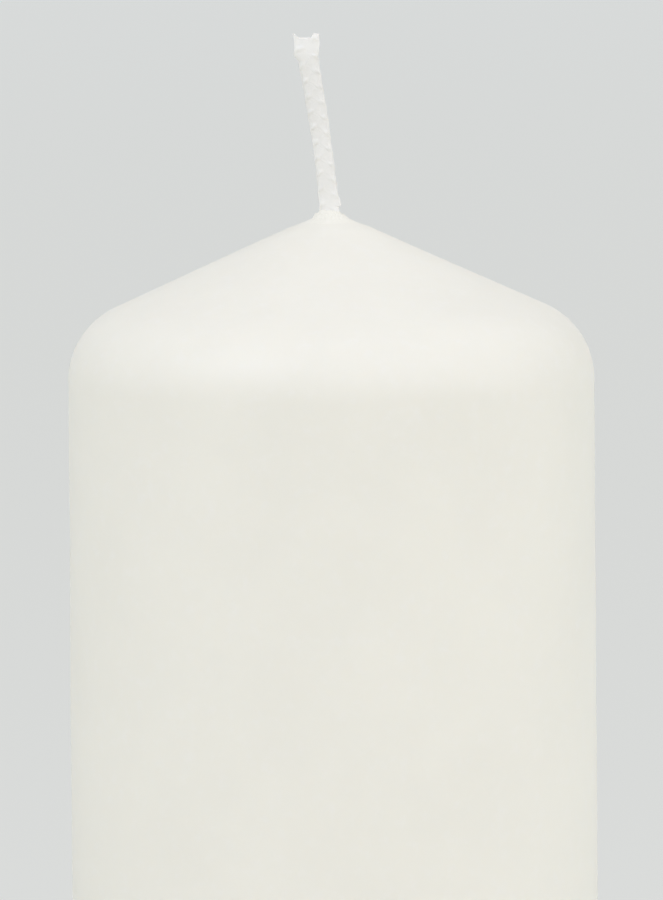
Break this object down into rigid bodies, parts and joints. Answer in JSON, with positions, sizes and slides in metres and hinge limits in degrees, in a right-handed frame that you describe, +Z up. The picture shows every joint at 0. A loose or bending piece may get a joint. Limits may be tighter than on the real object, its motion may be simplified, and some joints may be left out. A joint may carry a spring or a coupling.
{
  "type": "unity candle",
  "caption": "Plain ivory pillar candle with a sloping cone top and rounded shoulder, a plaited cotton wick that bends at the tip, and a metal wick sustainer in its foot.",
  "frame": {"origin": "middle of the flat foot that the candle stands on", "axes": "+Z up along the pillar to the wick; +X to the right seen from the front, so the wick leans towards -X; +Y towards the back"},
  "size_m": [0.076, 0.076, 0.2548],
  "materials": {
    "core_wax": "matte",
    "coat_wax": "satin",
    "wick_cotton": "matte",
    "tinned_steel": "satin"
  },
  "bodies": {
    "candle": {"wax_core": "core_wax", "outer_coat": "coat_wax", "tip_collar": "coat_wax", "foot_seal": "coat_wax", "wick_in_wax": "wick_cotton", "wick_sustainer": "tinned_steel"},
    "wick": {"wick_end": "wick_cotton"}
  },
  "joints": [
    {"name": "wick_bend", "type": "hinge", "parent": "candle", "child": "wick", "pos_m": [0, 0, 0.2296], "axis": [0, 1, 0], "range_deg": [-52, 68]}
  ]
}
